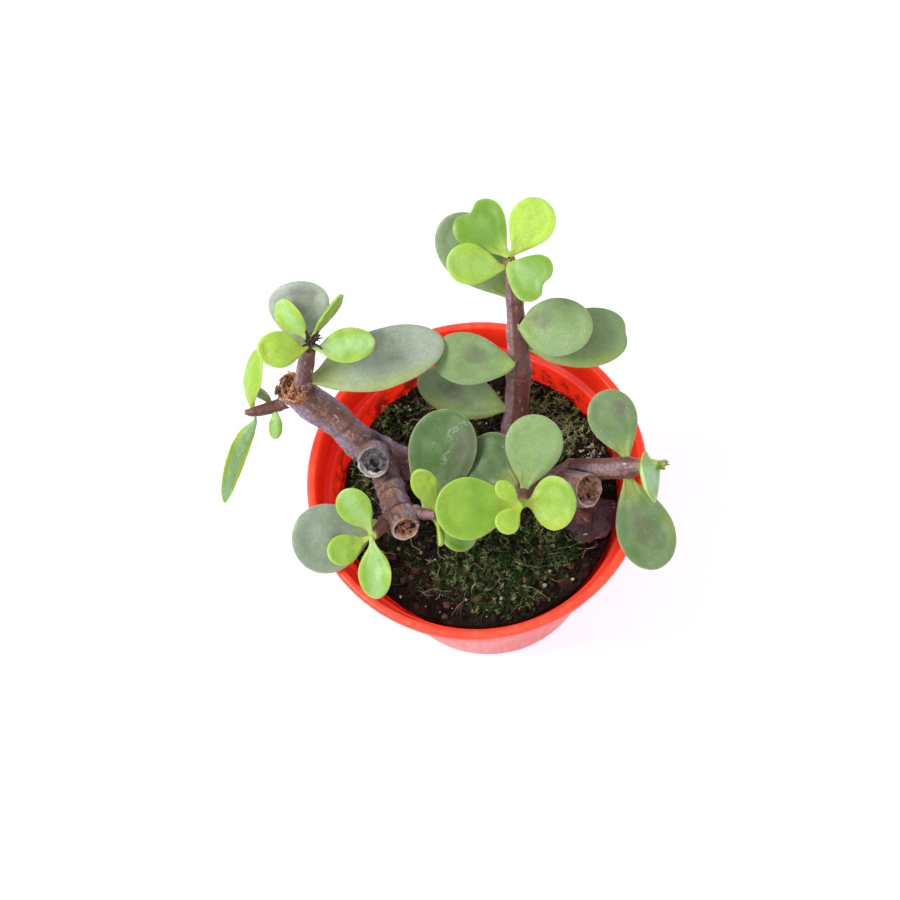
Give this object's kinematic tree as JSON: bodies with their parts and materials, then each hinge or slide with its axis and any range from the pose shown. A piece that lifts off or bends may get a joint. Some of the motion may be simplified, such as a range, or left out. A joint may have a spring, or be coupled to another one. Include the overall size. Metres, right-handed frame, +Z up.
{
  "type": "potted elephant bush",
  "caption": "Small succulent bush with a thick bent old stem, reddish young shoots and round fleshy leaves, planted in dark soil in a round red plastic nursery pot.",
  "frame": {"origin": "middle of the pot's underside, on the face of the centre pad that it stands on", "axes": "+Z up along the pot's axis; +X to the viewer's right; -Y towards the viewer, with the tallest shoot leaning to +Y"},
  "size_m": [0.1054, 0.0932, 0.1115],
  "materials": {
    "pot_red": "satin",
    "soil_dark": "matte",
    "bark": "matte",
    "shoot_stem": "satin",
    "leaf_old": "satin",
    "leaf_young": "satin"
  },
  "bodies": {
    "root": {"back_leaf_dented": "leaf_old", "back_leaf_grey": "leaf_old", "back_leaf_heart": "leaf_young", "back_leaf_left": "leaf_young", "back_leaf_low": "leaf_old", "back_leaf_mid": "leaf_old", "back_leaf_right": "leaf_young", "back_leaf_round": "leaf_old", "back_leaf_yellow": "leaf_young", "beside_leaf_back": "leaf_young", "beside_leaf_front": "leaf_young", "beside_leaf_grey": "leaf_old", "beside_leaf_low": "leaf_young", "middle_leaf_behind": "leaf_old", "middle_leaf_left": "leaf_young", "middle_leaf_right": "leaf_young", "middle_leaf_round": "leaf_old", "middle_leaf_tiny_back": "leaf_young", "middle_leaf_tiny_front": "leaf_young", "pot": "pot_red", "right_leaf_down": "leaf_old", "right_leaf_edge": "leaf_young", "right_leaf_up": "leaf_old", "shoot_back": "shoot_stem", "shoot_beside": "shoot_stem", "shoot_middle": "shoot_stem", "shoot_right": "shoot_stem", "shoot_side": "shoot_stem", "shoot_top": "shoot_stem", "shoot_under": "shoot_stem", "side_leaf_back": "leaf_old", "side_leaf_down": "leaf_young", "side_leaf_stub": "leaf_young", "side_leaf_up": "leaf_young", "soil": "soil_dark", "top_leaf_back_left": "leaf_young", "top_leaf_back_right": "leaf_young", "top_leaf_grey": "leaf_old", "top_leaf_left": "leaf_young", "top_leaf_long": "leaf_old", "top_leaf_right": "leaf_young", "trunk": "bark", "under_leaf_down": "leaf_young", "under_leaf_grey": "leaf_old", "under_leaf_left": "leaf_young", "under_leaf_up": "leaf_young"}
  },
  "joints": []
}
